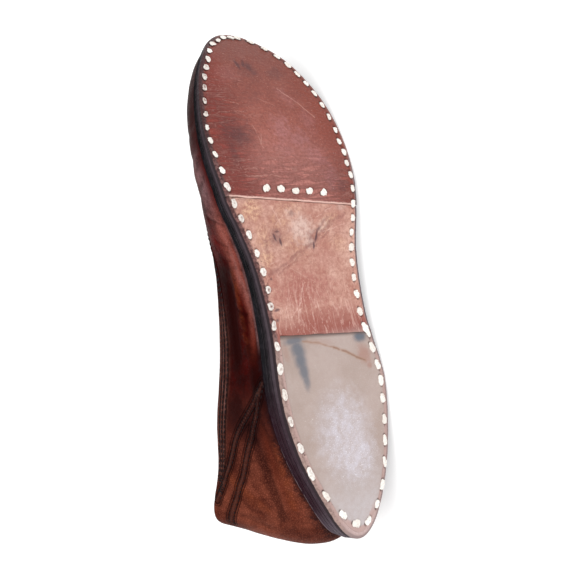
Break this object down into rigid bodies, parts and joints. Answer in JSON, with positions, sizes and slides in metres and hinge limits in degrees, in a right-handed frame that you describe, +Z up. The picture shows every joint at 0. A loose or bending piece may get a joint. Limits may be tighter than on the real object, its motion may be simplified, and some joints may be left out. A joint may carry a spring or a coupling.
{
  "type": "khussa shoe",
  "caption": "Flat slip-on leather shoe with a low throat, a slack open quarter and a stacked, stitched leather sole, lying on its outer side.",
  "frame": {"origin": "centre of the footprint, at the ground under the shoe as it lies on its outer side", "axes": "+X from heel to toe, +Y from sole to collar, +Z up, which is the inner side of the shoe"},
  "size_m": [0.2734, 0.0828, 0.0883],
  "materials": {
    "upper leather": "burnished red-brown, semi-gloss",
    "forepart leather": "dark reddish brown, worn matte",
    "waist leather": "pinkish tan, napped",
    "patch leather": "taupe, polished by wear",
    "dyed edge": "blue-black dye, semi-gloss",
    "insole leather": "natural tan, matte",
    "sole thread": "raw cream cord of two strands, matte",
    "black thread": "waxed black thread"
  },
  "bodies": {
    "root": {"outsole_forepart": "forepart leather", "outsole_waist": "waist leather", "heel_patch": "patch leather", "midsole": "dyed edge", "rand": "dyed edge", "upper": "upper leather", "insole": "insole leather"}
  },
  "joints": []
}
